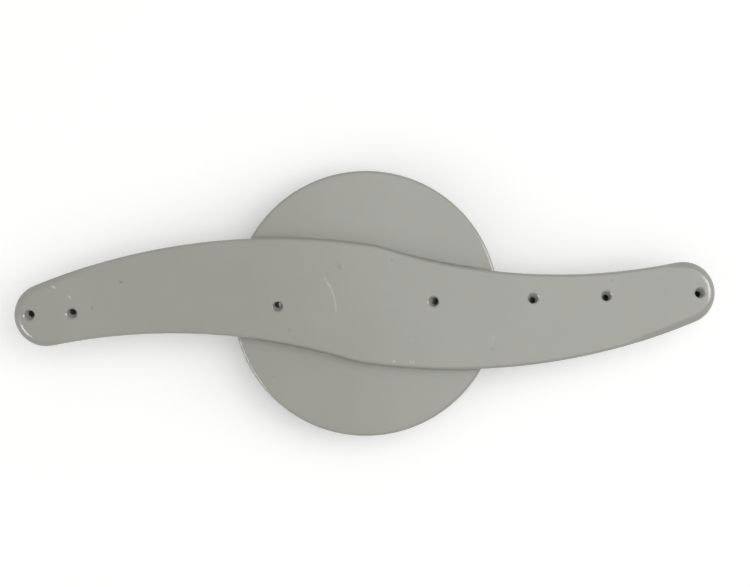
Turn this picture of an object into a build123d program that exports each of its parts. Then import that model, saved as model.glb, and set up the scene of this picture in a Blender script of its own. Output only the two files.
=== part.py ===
from build123d import *

import os
from math import cos, radians, sin, sqrt, tan

# A dishwasher's lower spray arm: an S-shaped water channel moulded as two welded shells,
# with a round deflector disc, turning on a sleeve bearing that snaps into its hub.
# Millimetres. Z is the axis of the hub, and Z = 0 is the foot of the bearing.

# Arm outline, seen from above
ARM_LENGTH = 492.4
TIP_RADIUS = 22.0
LEAD_ANGLE = 20.4        # degrees between the leading edge and the arm's line, at the tip
TRAIL_ANGLE = 9.6        # the same for the trailing edge
SHOULDER_RADIUS = 70.0   # the edge turns more tightly by the hub
SHOULDER_START = 10.3    # degrees between the edge and the arm's line where that turn starts
SHOULDER_END = 19.0      # and where it ends

# Arm section
WALL = 2.3
ARM_RISE = 9.5           # roof above the top of the disc
EDGE_RADIUS = 2.0        # rounding of the roof's long edges
NOSE_RADIUS = 6.0        # rounding of the roof at the tips
NOSE_LENGTH = 110.0      # the larger rounding has run out this far from the tip
NOSE_MARGIN = 0.3
NOSE_FLARE = 2.0         # degrees that the larger rounding turns away from the trailing edge
TIP_LENGTH = 51.0        # the upturned end of each arm
TIP_LIFT = 3.0           # degrees that it turns up
CREASE_RADIUS = 130.0

# Tray under the arm
TRAY_DEPTH = 12.0
TRAY_BEVEL = 3.0         # along the floor's edges
TRAY_FLAT = 70.0         # the tray's floor is level this far from the hub axis
TRAY_TIP_RISE = 5.0      # and then rises by this much to the tip
SEAM_STEP = 0.4          # the tray stands back from the upper shell by this much

# Disc
DISC_DIAMETER = 188.0
DISC_PLATE = 2.5
SKIRT_DEPTH = 6.0
SKIRT_WALL = 2.2
SKIRT_GAP = 0.3          # between the skirt's ends and the tray
RIM_RADIUS = 2.0
ROOT_RADIUS = 1.5        # fillet where the arm rises from the disc

# Nozzles on the arm's line: distance in from the arm's end, or out from the hub axis,
# and the way that the jet leans, in degrees from +X
LEFT_END_NOZZLES = ((11.1, 230.0), (40.4, 260.0))
LEFT_HUB_NOZZLES = ((62.2, 270.0),)
RIGHT_HUB_NOZZLES = ((47.0, 180.0), (117.4, 80.0))
RIGHT_END_NOZZLES = ((77.1, 90.0), (11.3, 50.0))
NOZZLE_MOUTH = 7.3
NOZZLE_THROAT = 4.2
NOZZLE_DEPTH = 4.6
NOZZLE_LEAN = 1.5        # the throat stands this far off the mouth's centre
NOZZLE_BOSS = 11.5
NOZZLE_BEVEL = 0.6       # round the mouth

# Filter-wash jets in the tray
JET_REACH = 60.0
JET_OFFSET = 1.0
JET_DIAMETER = 4.5

# Hub
POST_BORE = 44.0
SLEEVE_WALL = 3.5
RUNNING_GAP = 0.3        # between the sleeve and the arm, all round and endways
COLLAR_WALL = 3.5
COLLAR_HEIGHT = 18.7
COLLAR_BEVEL = 0.8
GUSSET_REACH = 12.0
GUSSET_CLEAR = 5.7       # from the collar's foot up to the gussets
GUSSET_TOE = 2.0         # height of a gusset at its outer end
GUSSET_THICKNESS = 2.0
GUSSET_ANGLES = (-32.0, 0.0, 32.0)
FLANGE_LIP = 3.7         # the bearing's flange stands out past the collar by this much
FLANGE_THICKNESS = 3.0
FLANGE_BEVEL = 0.6
LEAD_IN = 1.2
GROOVE_HEIGHT = 7.0      # of the post's snap groove, over the foot
GROOVE_WIDTH = 2.0
GROOVE_DEPTH = 0.8
SNAP_FINGERS = 8
SNAP_SLOT = 3.0
SNAP_RELIEF = 1.0        # the fingers are thinned from inside by this much
SNAP_REACH = 1.4         # how far the hooks stand out over the tray's floor
SNAP_LAND = 0.9          # height of a hook before it tapers
SNAP_TAPER = 2.5
SNAP_LEAD = 0.7          # how far the taper goes in past the sleeve
FINGER_LENGTH = 13.0

# Places, levels and radii that follow from these
arm_end = ARM_LENGTH / 2
tip_centre = arm_end - TIP_RADIUS
crease = arm_end - TIP_LENGTH
disc_radius = DISC_DIAMETER / 2
collar_foot = FLANGE_THICKNESS + RUNNING_GAP
tray_level = collar_foot + COLLAR_HEIGHT
floor_level = tray_level + WALL
weld_level = tray_level + TRAY_DEPTH
disc_level = weld_level + DISC_PLATE
roof_level = disc_level + ARM_RISE
bore_radius = POST_BORE / 2
sleeve_radius = bore_radius + SLEEVE_WALL
collar_bore = sleeve_radius + RUNNING_GAP
collar_radius = collar_bore + COLLAR_WALL
flange_radius = collar_radius + FLANGE_LIP
nozzles = (
    [(inset - arm_end, lean) for inset, lean in LEFT_END_NOZZLES]
    + [(-reach, lean) for reach, lean in LEFT_HUB_NOZZLES]
    + [(reach, lean) for reach, lean in RIGHT_HUB_NOZZLES]
    + [(arm_end - inset, lean) for inset, lean in RIGHT_END_NOZZLES]
)

# Lengths that reach past everything they cut
beyond = ARM_LENGTH
headroom = 2 * (roof_level - weld_level) + TIP_LENGTH * tan(radians(TIP_LIFT))
UPRIGHT = (Align.CENTER, Align.CENTER, Align.MIN)


def across(angle):
    """The unit vector to the left of a line that rises by this angle from +X."""
    return Vector(-sin(radians(angle)), cos(radians(angle)))


def edge_radii():
    """The radii of a long edge's bulge and hollow, which bring it from tip to tip past its shoulder."""
    bulge_run = across(-SHOULDER_START) - across(LEAD_ANGLE)
    hollow_run = across(-SHOULDER_END) - across(TRAIL_ANGLE)
    ends = Vector(2 * tip_centre, 0) + (across(TRAIL_ANGLE) - across(LEAD_ANGLE)) * TIP_RADIUS
    rest = ends - (across(-SHOULDER_END) - across(-SHOULDER_START)) * SHOULDER_RADIUS
    both = bulge_run.cross(hollow_run).Z
    return rest.cross(hollow_run).Z / both, bulge_run.cross(rest).Z / both


def arm_outline(inset):
    """The S-shaped face of the arm, drawn in by the inset: long edges of three arcs, and tip arcs."""
    bulge_radius, hollow_radius = edge_radii()
    bulge = Vector(-tip_centre, 0) - across(LEAD_ANGLE) * (bulge_radius - TIP_RADIUS)
    shoulder = bulge + across(-SHOULDER_START) * (bulge_radius - SHOULDER_RADIUS)
    hollow = Vector(tip_centre, 0) + across(TRAIL_ANGLE) * (hollow_radius + TIP_RADIUS)
    half = [
        CenterArc(bulge, bulge_radius - inset, 90 + LEAD_ANGLE, -LEAD_ANGLE - SHOULDER_START),
        CenterArc(
            shoulder,
            SHOULDER_RADIUS - inset,
            90 - SHOULDER_START,
            SHOULDER_START - SHOULDER_END,
        ),
        CenterArc(hollow, hollow_radius + inset, 270 - SHOULDER_END, SHOULDER_END + TRAIL_ANGLE),
        CenterArc(
            Vector(tip_centre, 0),
            TIP_RADIUS - inset,
            90 + TRAIL_ANGLE,
            LEAD_ANGLE - TRAIL_ANGLE - 180,
        ),
    ]
    return make_face(half + [arc.rotate(Axis.Z, 180) for arc in half])


def roof_height(x):
    """The height of the arm's roof at a distance along its line."""
    return roof_level + max(0.0, abs(x) - crease) * tan(radians(TIP_LIFT))


def under_roof(drop):
    """All the space under the roof's line, lowered by the drop."""
    end = roof_height(beyond) - drop
    level = roof_level - drop
    line = FilletPolyline(
        (-beyond, end), (-crease, level), (crease, level), (beyond, end), radius=CREASE_RADIUS
    )
    sides = Polyline((beyond, end), (beyond, -beyond), (-beyond, -beyond), (-beyond, end))
    return extrude(Plane.XZ * make_face([line, sides]), beyond, both=True)


def roof_edges(solid):
    """The edges between a solid's roof and its walls."""
    top = solid.faces().filter_by(lambda face: face.normal_at().Z > 0.9)
    return top.edges().filter_by(Axis.Y, reverse=True)


def nose_outline(inset):
    """The tip's circle with two straight sides that leave it, wider than the arm's own edges."""
    radius = TIP_RADIUS + NOSE_MARGIN - inset
    tip = Vector(-tip_centre, 0)
    lead_side = Vector(cos(radians(LEAD_ANGLE)), sin(radians(LEAD_ANGLE)))
    trail_side = Vector(cos(radians(NOSE_FLARE)), -sin(radians(NOSE_FLARE)))
    lead_start = tip + radius * Vector(-lead_side.Y, lead_side.X)
    trail_start = tip + radius * Vector(trail_side.Y, -trail_side.X)
    lead_end = lead_start + lead_side * arm_end
    trail_end = trail_start + trail_side * arm_end
    return make_face(
        [
            Line(lead_end, lead_start),
            ThreePointArc(lead_start, tip - Vector(radius, 0), trail_start),
            Line(trail_start, trail_end),
            Line(trail_end, lead_end),
        ]
    )


def nose_trim(inset):
    """What the larger rounding takes off the left-hand end of the arm."""
    nose = extrude(nose_outline(inset), roof_level + headroom) & under_roof(inset)
    if NOSE_RADIUS > inset:
        nose = fillet(roof_edges(nose), NOSE_RADIUS - inset)
    end = Pos(-arm_end, 0, roof_level) * Box(2 * NOSE_LENGTH, beyond, 2 * headroom)
    return end - nose


def arm_block(inset):
    """The arm as a solid above the weld, drawn in by the inset on every side but the weld."""
    prism = Pos(0, 0, weld_level) * extrude(arm_outline(inset), headroom)
    block = prism & under_roof(inset)
    if EDGE_RADIUS > inset:
        block = fillet(roof_edges(block), EDGE_RADIUS - inset)
    trim = nose_trim(inset)
    return block - trim - trim.rotate(Axis.Z, 180)


def disc():
    """The deflector disc with its rounded rim and skirt, cut away where the tray passes the skirt."""
    low = weld_level - SKIRT_DEPTH
    section = make_face(
        Polyline(
            (0, disc_level),
            (0, weld_level),
            (disc_radius - SKIRT_WALL, weld_level),
            (disc_radius - SKIRT_WALL, low),
            (disc_radius, low),
            (disc_radius, disc_level),
            close=True,
        )
    )
    rim = section.vertices().group_by(Axis.X)[-1].sort_by(Axis.Y)[-1]
    section = fillet(rim, RIM_RADIUS)
    plate = revolve(Plane.XZ * section, Axis.Z)
    passage = Pos(0, 0, low) * extrude(arm_outline(SEAM_STEP - SKIRT_GAP), SKIRT_DEPTH)
    return plate - passage


def arm_root(arm):
    """The arm on the top of the disc, with a fillet round its foot, trimmed to the flat of the disc."""
    wide = DISC_DIAMETER + 8 * ROOT_RADIUS
    plate = Pos(0, 0, weld_level) * Box(wide, wide, DISC_PLATE, align=UPRIGHT)
    stub = arm & Pos(0, 0, weld_level) * Box(wide, wide, headroom, align=UPRIGHT)
    joined = plate + stub
    foot = joined.edges().filter_by_position(Axis.Z, disc_level, disc_level).filter_by(GeomType.CIRCLE)
    joined = fillet(foot, ROOT_RADIUS)
    flat = Cylinder(disc_radius - RIM_RADIUS, headroom, align=UPRIGHT)
    return joined & Pos(0, 0, disc_level) * flat


def nozzle(x, lean):
    """A leaning cone that opens upwards, from below the boss to above the roof."""
    over = WALL / 2
    share = over / NOZZLE_DEPTH
    mouth = NOZZLE_MOUTH / 2
    throat = NOZZLE_THROAT / 2
    flare = (mouth - throat) * share
    step = Vector(cos(radians(lean)), sin(radians(lean))) * NOZZLE_LEAN
    level = roof_height(x)
    top = Pos(Vector(x, 0, level + over) + step * share) * Circle(mouth + flare)
    low = Pos(Vector(x, 0, level - NOZZLE_DEPTH - over) - step * (1 + share)) * Circle(throat - flare)
    return loft([low, top], ruled=True)


def nozzle_boss(x):
    """The pad under the roof that a nozzle goes through."""
    level = roof_height(x) - NOZZLE_DEPTH
    return Pos(x, 0, level) * Cylinder(NOZZLE_BOSS / 2, NOZZLE_DEPTH - WALL / 2, align=UPRIGHT)


def nozzle_mouths(shell):
    """The edges where the nozzles open in the roof."""
    mouths = ShapeList()
    for x, lean in nozzles:
        centre = Vector(x, 0, roof_height(x))
        around = shell.edges().filter_by(
            lambda edge: (edge.bounding_box().center() - centre).length < NOZZLE_LEAN
        )
        mouths.append(around.sort_by(Edge.length)[-1])
    return mouths


def upper_shell():
    """The roof, walls, nozzles and disc, as one moulding."""
    arm = arm_block(0)
    shell = disc() + arm + arm_root(arm) - arm_block(WALL)
    shell += [nozzle_boss(x) & arm for x, lean in nozzles]
    shell -= [nozzle(x, lean) for x, lean in nozzles]
    return chamfer(nozzle_mouths(shell), NOZZLE_BEVEL)


def over_floor(rise):
    """All the space over the line of the tray's floor, raised by the rise."""
    slope = TRAY_TIP_RISE / (arm_end - TRAY_FLAT)
    end = tray_level + rise + slope * (beyond - TRAY_FLAT)
    level = tray_level + rise
    line = FilletPolyline(
        (-beyond, end), (-TRAY_FLAT, level), (TRAY_FLAT, level), (beyond, end), radius=CREASE_RADIUS
    )
    sides = Polyline((beyond, end), (beyond, beyond), (-beyond, beyond), (-beyond, end))
    return extrude(Plane.XZ * make_face([line, sides]), beyond, both=True)


def floor_edges(solid):
    """The edges between a solid's floor and its walls."""
    low = solid.faces().filter_by(lambda face: face.normal_at().Z < -0.9)
    return low.edges().filter_by(Axis.Y, reverse=True)


def tray_block(inset):
    """The tray as a solid under the weld, drawn in by the inset on every side but the weld."""
    prism = extrude(arm_outline(SEAM_STEP + inset), weld_level)
    block = prism & over_floor(inset)
    bevel = TRAY_BEVEL - inset * (2 - sqrt(2))
    if bevel > 0:
        block = chamfer(floor_edges(block), bevel)
    return block


def gusset(angle):
    """A web between the collar and the tray's floor, on a line out from the hub axis."""
    inner = collar_bore + COLLAR_WALL / 2
    outer = collar_radius + GUSSET_REACH
    web = make_face(
        Polyline(
            (inner, floor_level - WALL / 2),
            (outer, floor_level - WALL / 2),
            (outer, tray_level - GUSSET_TOE),
            (collar_radius, collar_foot + GUSSET_CLEAR),
            (inner, collar_foot + GUSSET_CLEAR),
            close=True,
        )
    )
    return Rot(0, 0, angle) * extrude(Plane.XZ * web, GUSSET_THICKNESS / 2, both=True)


def lower_shell():
    """The tray, the hub collar with its gussets, and the filter-wash jets, as one moulding."""
    tray = tray_block(0) - tray_block(WALL)
    collar = Cylinder(collar_radius, floor_level - collar_foot, align=UPRIGHT)
    collar = chamfer(collar.edges().sort_by(Axis.Z)[0], COLLAR_BEVEL)
    shell = tray + Pos(0, 0, collar_foot) * collar
    shell += [gusset(side + angle) for side in (0, 180) for angle in GUSSET_ANGLES]
    bore = Cylinder(collar_bore, roof_level, align=UPRIGHT)
    jet = Pos(-JET_REACH, JET_OFFSET, 0) * Cylinder(JET_DIAMETER / 2, roof_level, align=UPRIGHT)
    return shell - bore - jet - jet.rotate(Axis.Z, 180)


def hub_bearing():
    """The sleeve that the arm turns on, with a foot flange and fingers that hook over the tray's floor."""
    seat = floor_level + RUNNING_GAP
    land = seat + SNAP_LAND
    top = land + SNAP_TAPER
    hook = sleeve_radius + SNAP_REACH
    relief = bore_radius + SNAP_RELIEF
    split = top - FINGER_LENGTH
    groove = GROOVE_HEIGHT + GROOVE_WIDTH
    section = make_face(
        Polyline(
            (bore_radius + LEAD_IN, 0),
            (flange_radius, 0),
            (flange_radius, FLANGE_THICKNESS),
            (sleeve_radius, FLANGE_THICKNESS),
            (sleeve_radius, seat),
            (hook, seat),
            (hook, land),
            (sleeve_radius - SNAP_LEAD, top),
            (relief, top),
            (relief, split),
            (bore_radius, split),
            (bore_radius, groove),
            (bore_radius + GROOVE_DEPTH, groove),
            (bore_radius + GROOVE_DEPTH, GROOVE_HEIGHT),
            (bore_radius, GROOVE_HEIGHT),
            (bore_radius, LEAD_IN),
            close=True,
        )
    )
    rim = section.vertices().group_by(Axis.X)[-1]
    section = chamfer(rim, FLANGE_BEVEL)
    sleeve = revolve(Plane.XZ * section, Axis.Z)
    outward = (Align.MIN, Align.CENTER, Align.MIN)
    slot = Pos(0, 0, split) * Box(flange_radius, SNAP_SLOT, FINGER_LENGTH, align=outward)
    return sleeve - [slot.rotate(Axis.Z, 360 * n / SNAP_FINGERS) for n in range(SNAP_FINGERS)]


os.makedirs("parts", exist_ok=True)
export_step(upper_shell(), "parts/upper_shell.step")
export_step(lower_shell(), "parts/lower_shell.step")
export_step(hub_bearing(), "parts/hub_bearing.step")
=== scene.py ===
from math import cos, pi, radians, sin

import bmesh
import bpy
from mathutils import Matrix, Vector


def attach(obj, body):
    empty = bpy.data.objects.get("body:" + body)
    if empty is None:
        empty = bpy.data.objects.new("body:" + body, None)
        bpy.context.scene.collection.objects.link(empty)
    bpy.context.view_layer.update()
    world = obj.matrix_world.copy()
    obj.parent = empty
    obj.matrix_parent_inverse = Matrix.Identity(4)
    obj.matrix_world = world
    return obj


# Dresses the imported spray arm: moulded plastic for its shells and bearing, the moulding's
# gate mark, a pale floor, soft lamps and a camera that looks down on it.
# Metres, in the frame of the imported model.

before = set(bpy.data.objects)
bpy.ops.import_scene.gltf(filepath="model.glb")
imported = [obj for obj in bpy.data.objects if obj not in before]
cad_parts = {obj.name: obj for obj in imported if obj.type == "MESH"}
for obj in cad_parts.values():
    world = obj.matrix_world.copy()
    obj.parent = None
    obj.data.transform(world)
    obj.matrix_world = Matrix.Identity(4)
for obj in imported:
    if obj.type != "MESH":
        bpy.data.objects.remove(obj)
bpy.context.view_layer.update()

MM = 0.001

# Camera
CAMERA_PLACE = (-0.01871, 0.02510, 1.099)
CAMERA_TURN = (-0.9328, -1.3871, -1.919)      # degrees
CAMERA_LENS = 72.084                          # mm, as is the sensor
CAMERA_SENSOR = 36.0

# Floor
FLOOR_SIZE = 12.0
FLOOR_COLOUR = (0.97, 0.97, 0.96, 1.0)
FLOOR_SHADE = 0.985      # the darkest tone of its drift, as a share of its colour
FLOOR_DRIFT = 3.0        # noise scale
FLOOR_GLOW = 0.18        # added where the camera or a reflection sees the floor

# Light
SKY_LEVEL = 0.72         # strength of the surround's light
SKY_LOW = 0.20           # its tone at the horizon, where it is white overhead
SKY_PALE = 0.60          # the horizon's tone where the camera or a reflection sees it
LAMPS = (
    # name, place, width and height, power, and True for one that only gloss shows
    ("lamp_high", (1.40, 0.50, 4.00), (3.20, 3.20), 54.0, False),
    ("lamp_right", (1.35, 0.05, 0.85), (0.90, 0.90), 3.6, False),
    ("lamp_left", (-1.60, -0.60, 0.90), (1.20, 1.20), 4.4, False),
    ("glint_right", (1.09, 0.10, 1.05), (0.62, 0.62), 10.5, True),
    ("glint_left", (-1.02, -0.52, 1.00), (0.54, 0.40), 7.4, True),
)

# Grey plastic
GREY_DARK = (0.322, 0.322, 0.287, 1.0)
GREY_LIGHT = (0.350, 0.350, 0.313, 1.0)
GREY_ROUGHNESS = (0.19, 0.22)

# Bearing plastic
ACETAL_DARK = (0.66, 0.65, 0.60, 1.0)
ACETAL_LIGHT = (0.75, 0.74, 0.70, 1.0)
ACETAL_ROUGHNESS = (0.30, 0.40)

# What both plastics share; rows of noises are scale, detail and share
TONE_NOISES = (
    (14.0, 3.0, 0.65),       # soft drift
    (130.0, 2.0, 0.15),      # clouds
    (2400.0, 1.0, 0.20),     # speckle
)
HEIGHT_NOISES = (
    (3200.0, 2.0, 0.06),     # grain
    (45.0, 1.0, 0.60),       # slow waves
)
RUB_SCALE = 60.0
RUB_DETAIL = 3.0
NOISE_RANGE = (0.3, 0.7)     # most of a noise lies in here
BUMP_STRENGTH = 0.25
BUMP_DISTANCE = 0.1 * MM

# Gate mark on the roof
ROOF_LEVEL = 46.0 * MM
GATE_PLACE = (-18.6 * MM, 26.6 * MM)
GATE_RING = 2.8 * MM
GATE_NUB = 0.8 * MM
GATE_RISE = 0.65 * MM
GATE_SINK = 0.1 * MM
GATE_STEPS = 40
GATE_PROFILE = (
    # radius, height over the roof, from the rim to the top of the nub
    (GATE_RING, -GATE_SINK),
    (GATE_RING, 0.12 * GATE_RISE),
    (0.86 * GATE_RING, 0.36 * GATE_RISE),
    (0.7 * GATE_RING, 0.14 * GATE_RISE),
    (1.15 * GATE_NUB, 0.1 * GATE_RISE),
    (GATE_NUB, 0.75 * GATE_RISE),
    (0.6 * GATE_NUB, GATE_RISE),
)

# Faint marks that the grey plastic carries, by their places in the plan
FLOW_ARC_CENTRE = (-54.6 * MM, -1.9 * MM)
FLOW_ARC_RADIUS = 32.9 * MM
FLOW_ARC_WIDTH = 2.4 * MM
FLOW_ARC_MIDDLE = (-23.0 * MM, 7.0 * MM)
FLOW_ARC_REACH = 14.0 * MM
FLOW_ARC_FADE = 0.4       # share of the reach over which the arc's ends fade
FLOW_ARC_STRENGTH = 0.26
SPECK_FADE = 0.7          # share of a speck's radius over which it fades
SPECKS = (
    # place, radius, strength
    ((-170.9 * MM, 21.1 * MM), 1.6 * MM, 0.50),
    ((-191.7 * MM, 3.7 * MM), 1.4 * MM, 0.30),
    ((18.8 * MM, 29.9 * MM), 1.2 * MM, 0.35),
    ((-54.5 * MM, -16.4 * MM), 1.7 * MM, 0.24),
    ((-67.3 * MM, -49.5 * MM), 1.1 * MM, 0.32),
    ((87.5 * MM, -34.6 * MM), 1.8 * MM, 0.22),
    ((173.1 * MM, 10.7 * MM), 1.6 * MM, 0.20),
)
SCUFF_CORE = 0.3          # share of a scuff that has its full strength
SCUFFS = (
    # place, length, width, turn in degrees, strength
    ((-217.6 * MM, 19.1 * MM), 4.6 * MM, 1.7 * MM, -32.0, 0.75),
    ((-206.9 * MM, 11.9 * MM), 3.6 * MM, 1.8 * MM, -47.0, 0.55),
    ((18.0 * MM, -41.0 * MM), 2.4 * MM, 1.1 * MM, 84.0, 1.00),
    ((29.7 * MM, -41.9 * MM), 2.0 * MM, 1.0 * MM, 75.0, 0.80),
    ((31.7 * MM, -42.3 * MM), 2.2 * MM, 1.0 * MM, 108.0, 0.65),
    ((-25.9 * MM, 14.4 * MM), 4.4 * MM, 2.2 * MM, -38.0, 0.22),
    ((-28.6 * MM, 18.9 * MM), 2.6 * MM, 2.2 * MM, 20.0, 0.20),
    ((31.5 * MM, -26.4 * MM), 3.6 * MM, 2.0 * MM, -30.0, 0.10),
    ((88.4 * MM, -26.2 * MM), 7.0 * MM, 2.6 * MM, 86.0, 0.08),
)
MARKS_FROM = 35.8 * MM    # only the disc's top and what stands over it carry marks
PALE_MARK = (0.62, 0.61, 0.57, 1.0)
DARK_MARK = (0.16, 0.155, 0.135, 1.0)

# Nodes
MIX_FIRST, MIX_SECOND, MIX_RESULT = 6, 7, 2    # a mix node's colour sockets
FLATTEN = 1000.0                               # a scale so large that heights don't count


class Nodes:
    """A node tree, joined by passing one node's output as another's input."""

    def __init__(self, tree):
        self.tree = tree

    def add(self, kind, inputs=None, **settings):
        """A new node with these settings; an input is a value, or the socket it comes from."""
        made = self.tree.nodes.new(kind)
        for key, value in settings.items():
            setattr(made, key, value)
        self.feed(made, inputs or {})
        return made

    def feed(self, node, inputs):
        """Sets or links a node's inputs, by name or by number."""
        for key, value in inputs.items():
            if isinstance(value, bpy.types.NodeSocket):
                self.tree.links.new(value, node.inputs[key])
            else:
                node.inputs[key].default_value = value

    def noise(self, place, scale, detail=2.0):
        """A grey noise with a mean of a half, with features about 1 / scale metres across."""
        inputs = {"Vector": place, "Scale": scale, "Detail": detail}
        return self.add("ShaderNodeTexNoise", inputs).outputs["Fac"]

    def noises(self, place, rows):
        """A sum of noises, given by scale, detail and share."""
        parts = [
            self.math("MULTIPLY", self.noise(place, scale, detail), share)
            for scale, detail, share in rows
        ]
        total = parts[0]
        for part in parts[1:]:
            total = self.math("ADD", total, part)
        return total

    def math(self, operation, first, second=0.0):
        """One step of arithmetic."""
        return self.add("ShaderNodeMath", {0: first, 1: second}, operation=operation).outputs[0]

    def spread(self, value, low, high, start=0.0, end=1.0):
        """A value from start to end, taken to the range from low to high and held there."""
        made = self.add(
            "ShaderNodeMapRange",
            {"Value": value, "From Min": start, "From Max": end, "To Min": low, "To Max": high},
        )
        return made.outputs["Result"]

    def blend(self, factor, first, second):
        """A colour between two others."""
        inputs = {"Factor": factor, MIX_FIRST: first, MIX_SECOND: second}
        return self.add("ShaderNodeMix", inputs, data_type="RGBA").outputs[MIX_RESULT]

    def ring(self, place, centre, radius, width):
        """1 on a circle in the plan, falling to 0 at half the width to each side of it."""
        flat = self.add(
            "ShaderNodeVectorMath", {0: place, 1: (1.0, 1.0, 0.0)}, operation="MULTIPLY"
        )
        away = self.add(
            "ShaderNodeVectorMath",
            {0: flat.outputs["Vector"], 1: (centre[0], centre[1], 0.0)},
            operation="DISTANCE",
        )
        off = self.math("ABSOLUTE", self.math("SUBTRACT", away.outputs["Value"], radius))
        return self.spread(off, 1.0, 0.0, 0.0, width / 2)

    def dash(self, place, centre, length, width, turn):
        """1 in the middle of a short line in the plan, falling to 0 at its ends and sides."""
        local = self.add(
            "ShaderNodeMapping",
            {
                "Vector": place,
                "Location": (centre[0], centre[1], 0.0),
                "Rotation": (0.0, 0.0, radians(turn)),
                "Scale": (length / 2, width / 2, FLATTEN),
            },
            vector_type="TEXTURE",
        )
        away = self.add("ShaderNodeVectorMath", {0: local.outputs["Vector"]}, operation="LENGTH")
        return self.spread(away.outputs["Value"], 1.0, 0.0, SCUFF_CORE, 1.0)

    def seen(self):
        """1 for the rays of the camera, of reflections and of clear things, and 0 for the rest."""
        rays = self.add("ShaderNodeLightPath").outputs
        found = rays["Is Camera Ray"]
        for ray in ("Is Glossy Ray", "Is Transmission Ray"):
            found = self.math("MAXIMUM", found, rays[ray])
        return found


class Shader(Nodes):
    """The nodes of a new material, with one surface."""

    def __init__(self, name):
        self.material = bpy.data.materials.new(name)
        self.material.use_nodes = True
        super().__init__(self.material.node_tree)
        self.tree.nodes.clear()
        self.surface = self.add("ShaderNodeBsdfPrincipled")
        self.add("ShaderNodeOutputMaterial", {"Surface": self.surface.outputs["BSDF"]})
        self.place = self.add("ShaderNodeTexCoord").outputs["Object"]


def moulded_plastic(name, dark, light, roughness, marks=None):
    """A satin moulding: tonal drift, fine speckle and grain, faint rubs, and its own marks."""
    shader = Shader(name)
    tone = shader.noises(shader.place, TONE_NOISES)
    colour = shader.blend(shader.spread(tone, 0.0, 1.0, *NOISE_RANGE), dark, light)
    if marks:
        colour = marks(shader, colour)
    rub = shader.noise(shader.place, RUB_SCALE, RUB_DETAIL)
    bump = shader.add(
        "ShaderNodeBump",
        {
            "Strength": BUMP_STRENGTH,
            "Distance": BUMP_DISTANCE,
            "Height": shader.noises(shader.place, HEIGHT_NOISES),
        },
    )
    shader.feed(
        shader.surface,
        {
            "Base Color": colour,
            "Roughness": shader.spread(rub, *roughness, *NOISE_RANGE),
            "Normal": bump.outputs["Normal"],
        },
    )
    return shader


def grey_marks(shader, plain):
    """The flow line by the gate, with the specks and scuffs of use, over a plain colour."""
    place = shader.place
    arc = shader.ring(place, FLOW_ARC_CENTRE, FLOW_ARC_RADIUS, FLOW_ARC_WIDTH)
    near = shader.ring(place, FLOW_ARC_MIDDLE, 0.0, 2 * FLOW_ARC_REACH)
    reach = shader.spread(near, 0.0, FLOW_ARC_STRENGTH, 0.0, FLOW_ARC_FADE)
    colour = shader.blend(shader.math("MULTIPLY", arc, reach), plain, PALE_MARK)
    for centre, length, width, turn, strength in SCUFFS:
        spot = shader.spread(shader.dash(place, centre, length, width, turn), 0.0, strength)
        colour = shader.blend(spot, colour, PALE_MARK)
    for centre, radius, strength in SPECKS:
        spot = shader.ring(place, centre, 0.0, 2 * radius)
        spot = shader.spread(spot, 0.0, strength, 0.0, SPECK_FADE)
        colour = shader.blend(spot, colour, DARK_MARK)
    split = shader.add("ShaderNodeSeparateXYZ", {"Vector": place})
    upper = shader.math("GREATER_THAN", split.outputs["Z"], MARKS_FROM)
    return shader.blend(upper, plain, colour)


def plain_floor():
    """A matt pale floor under the part, a little brighter where it is seen."""
    shader = Shader("floor_paper")
    drift = shader.noise(shader.place, FLOOR_DRIFT)
    shade = tuple(FLOOR_SHADE * part for part in FLOOR_COLOUR[:3]) + (1.0,)
    shader.feed(
        shader.surface,
        {
            "Base Color": shader.blend(drift, shade, FLOOR_COLOUR),
            "Roughness": 1.0,
            "Specular IOR Level": 0.0,
            "Emission Color": FLOOR_COLOUR,
            "Emission Strength": shader.spread(shader.seen(), 0.0, FLOOR_GLOW),
        },
    )
    mesh = bpy.data.meshes.new("floor")
    half = FLOOR_SIZE / 2
    corners = [(-half, -half, 0), (half, -half, 0), (half, half, 0), (-half, half, 0)]
    mesh.from_pydata(corners, [], [(0, 1, 2, 3)])
    mesh.materials.append(shader.material)
    floor = bpy.data.objects.new("floor", mesh)
    bpy.context.collection.objects.link(floor)


def gate_mark(material):
    """The vestige where the plastic entered the mould: a low ring round a small nub."""
    shape = bmesh.new()
    rows = []
    for step in range(GATE_STEPS):
        turn = 2 * pi * step / GATE_STEPS
        rows.append(
            [shape.verts.new((r * cos(turn), r * sin(turn), z)) for r, z in GATE_PROFILE]
        )
    for step in range(GATE_STEPS):
        here = rows[step]
        there = rows[(step + 1) % GATE_STEPS]
        for n in range(len(GATE_PROFILE) - 1):
            shape.faces.new((here[n], there[n], there[n + 1], here[n + 1]))
    shape.faces.new([row[-1] for row in rows])
    shape.faces.new([row[0] for row in reversed(rows)])
    mesh = bpy.data.meshes.new("gate_mark")
    shape.to_mesh(mesh)
    shape.free()
    mesh.materials.append(material)
    mark = bpy.data.objects.new("gate_mark", mesh)
    mark.location = (GATE_PLACE[0], GATE_PLACE[1], ROOF_LEVEL)
    bpy.context.collection.objects.link(mark)
    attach(mark, "arm")


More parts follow.
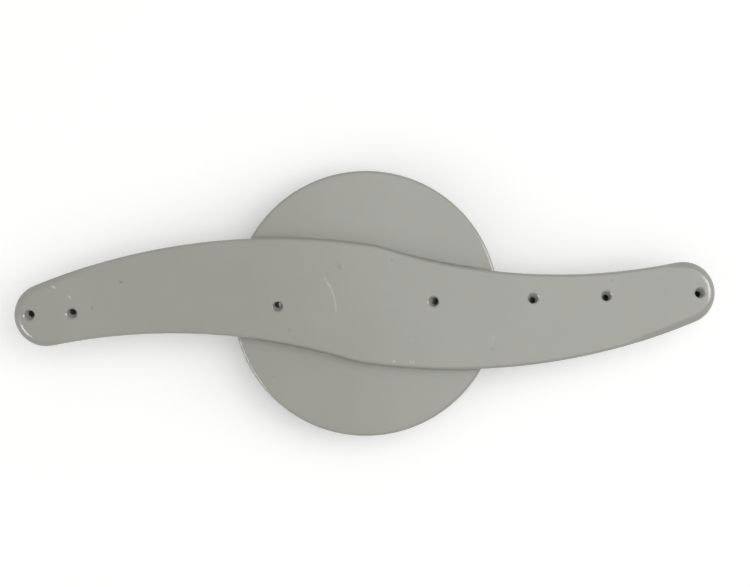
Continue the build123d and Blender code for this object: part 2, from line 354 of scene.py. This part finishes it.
def soft_lamp(name, place, size, power, only_gloss):
    """A soft lamp that points at the foot of the hub."""
    light = bpy.data.lights.new(name, "AREA")
    light.shape = "RECTANGLE"
    light.size, light.size_y = size
    light.energy = power
    lamp = bpy.data.objects.new(name, light)
    lamp.visible_camera = False
    lamp.visible_diffuse = not only_gloss
    lamp.location = place
    lamp.rotation_euler = (-Vector(place)).to_track_quat("-Z", "Y").to_euler()
    bpy.context.collection.objects.link(lamp)


def sky():
    """A soft surround, brightest overhead, and pale all round where it is seen."""
    world = bpy.data.worlds.new("surround")
    bpy.context.scene.world = world
    world.use_nodes = True
    nodes = Nodes(world.node_tree)
    seen = nodes.seen()
    direction = nodes.add("ShaderNodeTexCoord").outputs["Generated"]
    height = nodes.add("ShaderNodeSeparateXYZ", {"Vector": direction}).outputs["Z"]
    horizon = nodes.spread(seen, SKY_LOW, SKY_PALE)
    nodes.feed(
        world.node_tree.nodes["Background"],
        {
            "Color": nodes.spread(height, horizon, 1.0),
            "Strength": nodes.spread(seen, SKY_LEVEL, 1.0),
        },
    )


def camera():
    """Looks down on the arm."""
    data = bpy.data.cameras.new("camera")
    data.lens = CAMERA_LENS
    data.sensor_width = CAMERA_SENSOR
    made = bpy.data.objects.new("camera", data)
    made.location = CAMERA_PLACE
    made.rotation_euler = [radians(turn) for turn in CAMERA_TURN]
    bpy.context.collection.objects.link(made)
    bpy.context.scene.camera = made


def dress(names, shader):
    """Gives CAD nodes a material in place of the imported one."""
    for name in names:
        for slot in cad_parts[name].material_slots:
            slot.material = shader.material


grey = moulded_plastic("grey_plastic", GREY_DARK, GREY_LIGHT, GREY_ROUGHNESS, grey_marks)
acetal = moulded_plastic("bearing_plastic", ACETAL_DARK, ACETAL_LIGHT, ACETAL_ROUGHNESS)
dress(["upper_shell", "lower_shell"], grey)
dress(["hub_bearing"], acetal)
gate_mark(grey.material)
plain_floor()
for lamp in LAMPS:
    soft_lamp(*lamp)
sky()
camera()
bpy.context.scene.view_settings.view_transform = "Standard"
